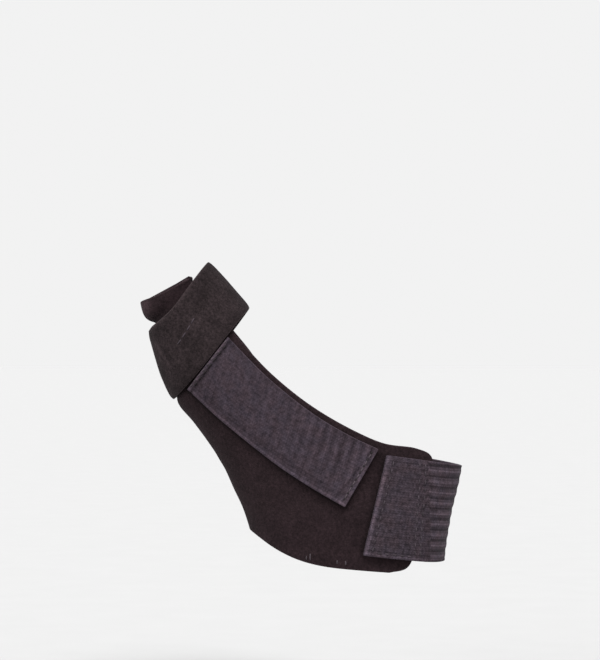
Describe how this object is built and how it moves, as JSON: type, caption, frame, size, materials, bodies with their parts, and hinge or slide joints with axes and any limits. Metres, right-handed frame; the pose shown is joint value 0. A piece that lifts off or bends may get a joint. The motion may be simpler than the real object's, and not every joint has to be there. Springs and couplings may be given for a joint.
{
  "type": "thumb protector",
  "caption": "Soft black wrap for the wrist and thumb, with a band round the base of the thumb and charcoal ribbed straps that close it on the back of the wrist.",
  "frame": {"origin": "On the wrist axis, at the middle of the wrist strap's width", "axes": "+Z runs along the forearm toward the fingers, -Y faces out of the back of the wrist, -X is the thumb side"},
  "size_m": [0.1237, 0.0574, 0.1169],
  "materials": {
    "body_laminate": "matte brushed black pile on foam",
    "loop_band": "matte black knit pile",
    "thumb_strap_rib": "charcoal ribbed elastic, soft sheen",
    "wrist_strap_rib": "charcoal ribbed elastic, soft sheen"
  },
  "bodies": {
    "root": {"body_panel": "body_laminate", "thumb_loop": "loop_band", "thumb_strap": "thumb_strap_rib", "wrist_strap": "wrist_strap_rib"}
  },
  "joints": []
}
